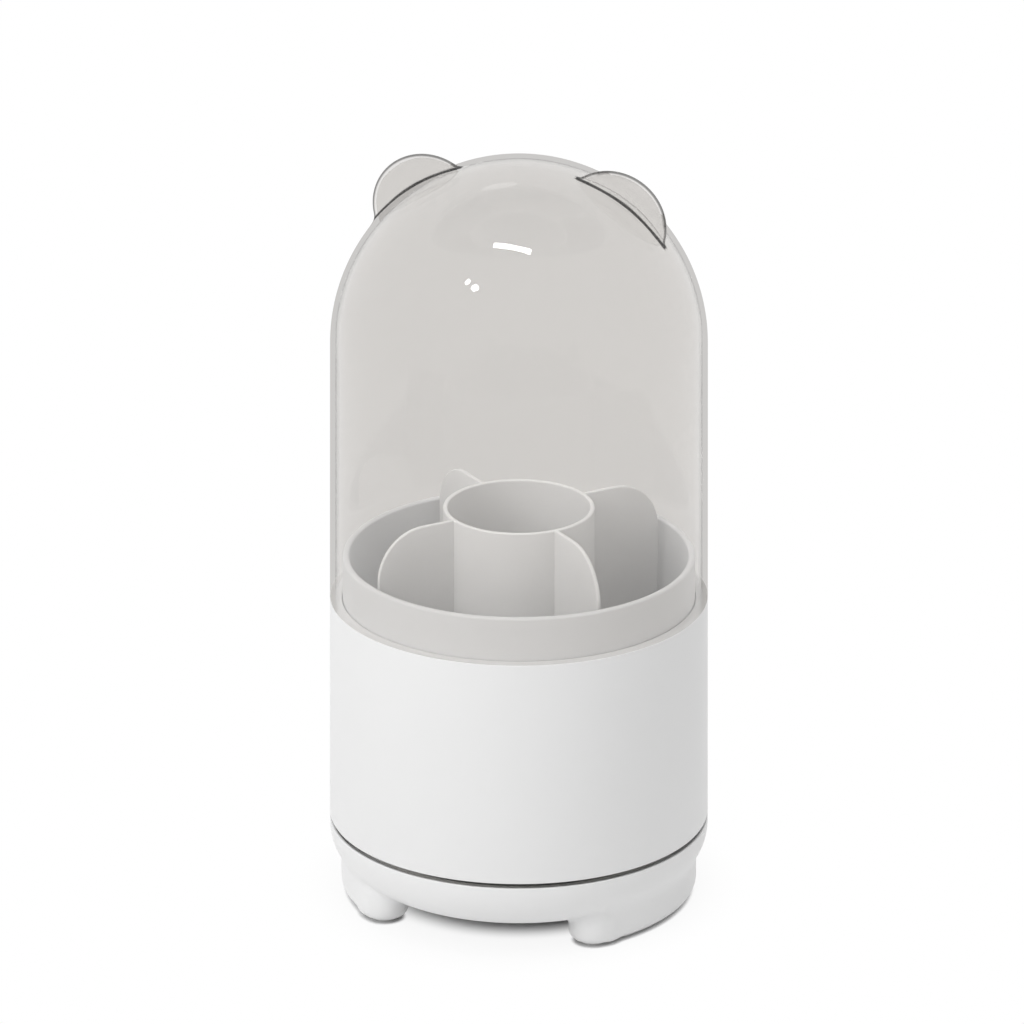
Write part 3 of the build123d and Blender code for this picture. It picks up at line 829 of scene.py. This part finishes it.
def makeFloor(look, heading):
    half = look["floorSize"] / 2
    corners = [(-half, -half, 0), (half, -half, 0), (half, half, 0), (-half, half, 0)]
    mesh = bpy.data.meshes.new("floor")
    mesh.from_pydata(corners, [], [(0, 1, 2, 3)])
    floor = bpy.data.objects.new("floor", mesh)
    bpy.context.scene.collection.objects.link(floor)
    material, tree, shader, leave = newTree("paleFloor")
    path = put(tree, "ShaderNodeLightPath").outputs
    place = put(tree, "ShaderNodeTexCoord").outputs["Object"]
    # painted shadow: close to the object the eye sees the darker floor tone with its rendered shadow, which
    # fades to plain white away from the object
    oval = put(tree, "ShaderNodeMapping", {"Vector": place, "Rotation": (0, 0, heading),
                                           "Scale": (look["shadowWide"], 1, 1)}, vector_type="TEXTURE")
    within, away = lengthOf(tree, oval.outputs["Vector"]), lengthOf(tree, place)
    share, most = look["shadowHaloShare"], 1 - look["shadowHaloShare"]
    fade = ranged(tree, within, look["shadowInner"], look["shadowOuter"], 0.0, most, "SMOOTHSTEP")
    ring = ranged(tree, away, look["shadowOuter"], look["shadowRingOuter"], 0.0, most, "SMOOTHSTEP")
    halo = ranged(tree, away, look["shadowOuter"], look["shadowHaloOuter"], 0.0, share, "SMOOTHSTEP")
    clear = work(tree, "ADD", work(tree, "MAXIMUM", fade, ring), halo)
    # painted contact shade: where ambient occlusion finds the object within a short reach, the darker floor
    # tone stays as a narrow dark line along the contact
    touch = put(tree, "ShaderNodeAmbientOcclusion", {"Distance": look["contactShadeReach"]}, samples=8)
    apart = ranged(tree, touch.outputs["AO"], look["contactShadeFrom"], look["contactShadeTo"])
    amount = work(tree, "MULTIPLY", whiteSight(tree, path), work(tree, "MULTIPLY", clear, apart))
    tone = mixed(tree, path["Is Diffuse Ray"], look["floorShadeColor"], look["bounceColor"])
    feed(tree, shader, {"Base Color": tone, "Roughness": look["floorRough"],
                        "Specular IOR Level": look["floorGloss"]})
    glow = put(tree, "ShaderNodeEmission", {"Color": white, "Strength": 1.0})
    blend = put(tree, "ShaderNodeMixShader", {"Fac": amount, 1: shader.outputs["BSDF"],
                                              2: glow.outputs["Emission"]})
    feed(tree, leave, {"Surface": blend.outputs["Shader"]})
    mesh.materials.append(material)


makeFloor(stageLook, radians(cameraView["heading"]))


def makeWorld(look):
    world = bpy.data.worlds.new("studio")
    bpy.context.scene.world = world
    world.use_nodes = True
    tree = world.node_tree
    # white where it is seen or mirrored, the plain fill where it lights
    seen = whiteSight(tree, put(tree, "ShaderNodeLightPath").outputs)
    level = ranged(tree, seen, 0.0, 1.0, look["worldFill"], 1.0)
    feed(tree, tree.nodes["Background"], {"Color": white, "Strength": level})


makeWorld(stageLook)

lamps = {
    "keyBox": {"place": (-1.37, -1.81, 1.55), "aim": (0, 0, 0.12), "size": (1.3, 1.3), "power": 17.3,
               "shape": "RECTANGLE", "mirrored": False},
    "topStrip": {"place": (-0.01, -0.31, 1.75), "aim": (0.0, -0.045, 0.272), "size": (0.56, 0.10),
                 "power": 5.0, "shape": "RECTANGLE", "mirrored": True},
    "smallDot": {"place": (-0.536, -0.825, 1.39), "aim": (0, 0, 0.25), "size": (0.085, 0.085), "power": 0.5,
                 "shape": "DISK", "mirrored": True},
    "largeDot": {"place": (-0.411, -0.924, 1.36), "aim": (0, 0, 0.25), "size": (0.12, 0.12), "power": 1.0,
                 "shape": "DISK", "mirrored": True},
    "backGlow": {"place": (-0.44, 0.90, 1.37), "aim": (0, 0, 0.25), "size": (0.34, 0.16), "power": 0.13,
                 "shape": "ELLIPSE", "mirrored": True},
}


def lookAt(place, aim):
    return (Vector(aim) - Vector(place)).to_track_quat("-Z", "Y").to_euler()


def makeLamp(name, facts):
    lamp = bpy.data.lights.new(name, "AREA")
    lamp.shape = facts["shape"]
    lamp.size = facts["size"][0]
    if facts["shape"] != "DISK":
        lamp.size_y = facts["size"][1]
    lamp.energy = facts["power"]
    holder = bpy.data.objects.new(name, lamp)
    bpy.context.scene.collection.objects.link(holder)
    holder.location = facts["place"]
    holder.rotation_euler = lookAt(facts["place"], facts["aim"])
    holder.visible_glossy = facts["mirrored"]
    holder.visible_transmission = False


for name, facts in lamps.items():
    makeLamp(name, facts)


def makeCamera(view):
    # the aim lies beside the upright axis by a little to the view's right and up
    a, e = radians(view["heading"]), radians(view["rise"])
    right = np.array([cos(a), sin(a), 0])
    up = np.array([-sin(a) * sin(e), cos(a) * sin(e), cos(e)])
    back = np.array([sin(a) * cos(e), -cos(a) * cos(e), sin(e)])
    aim = np.array([0, 0, view["middle"]]) + right * view["right"] + up * view["up"]
    lens = bpy.data.cameras.new("camera")
    lens.sensor_width = view["sensor"]
    lens.lens = view["lens"]
    lens.clip_end = view["clipEnd"]
    camera = bpy.data.objects.new("camera", lens)
    bpy.context.scene.collection.objects.link(camera)
    camera.location = aim + back * view["distance"]
    camera.rotation_euler = lookAt(camera.location, aim)
    bpy.context.scene.camera = camera


makeCamera(cameraView)
bpy.context.scene.view_settings.view_transform = "Standard"
print("stage set")
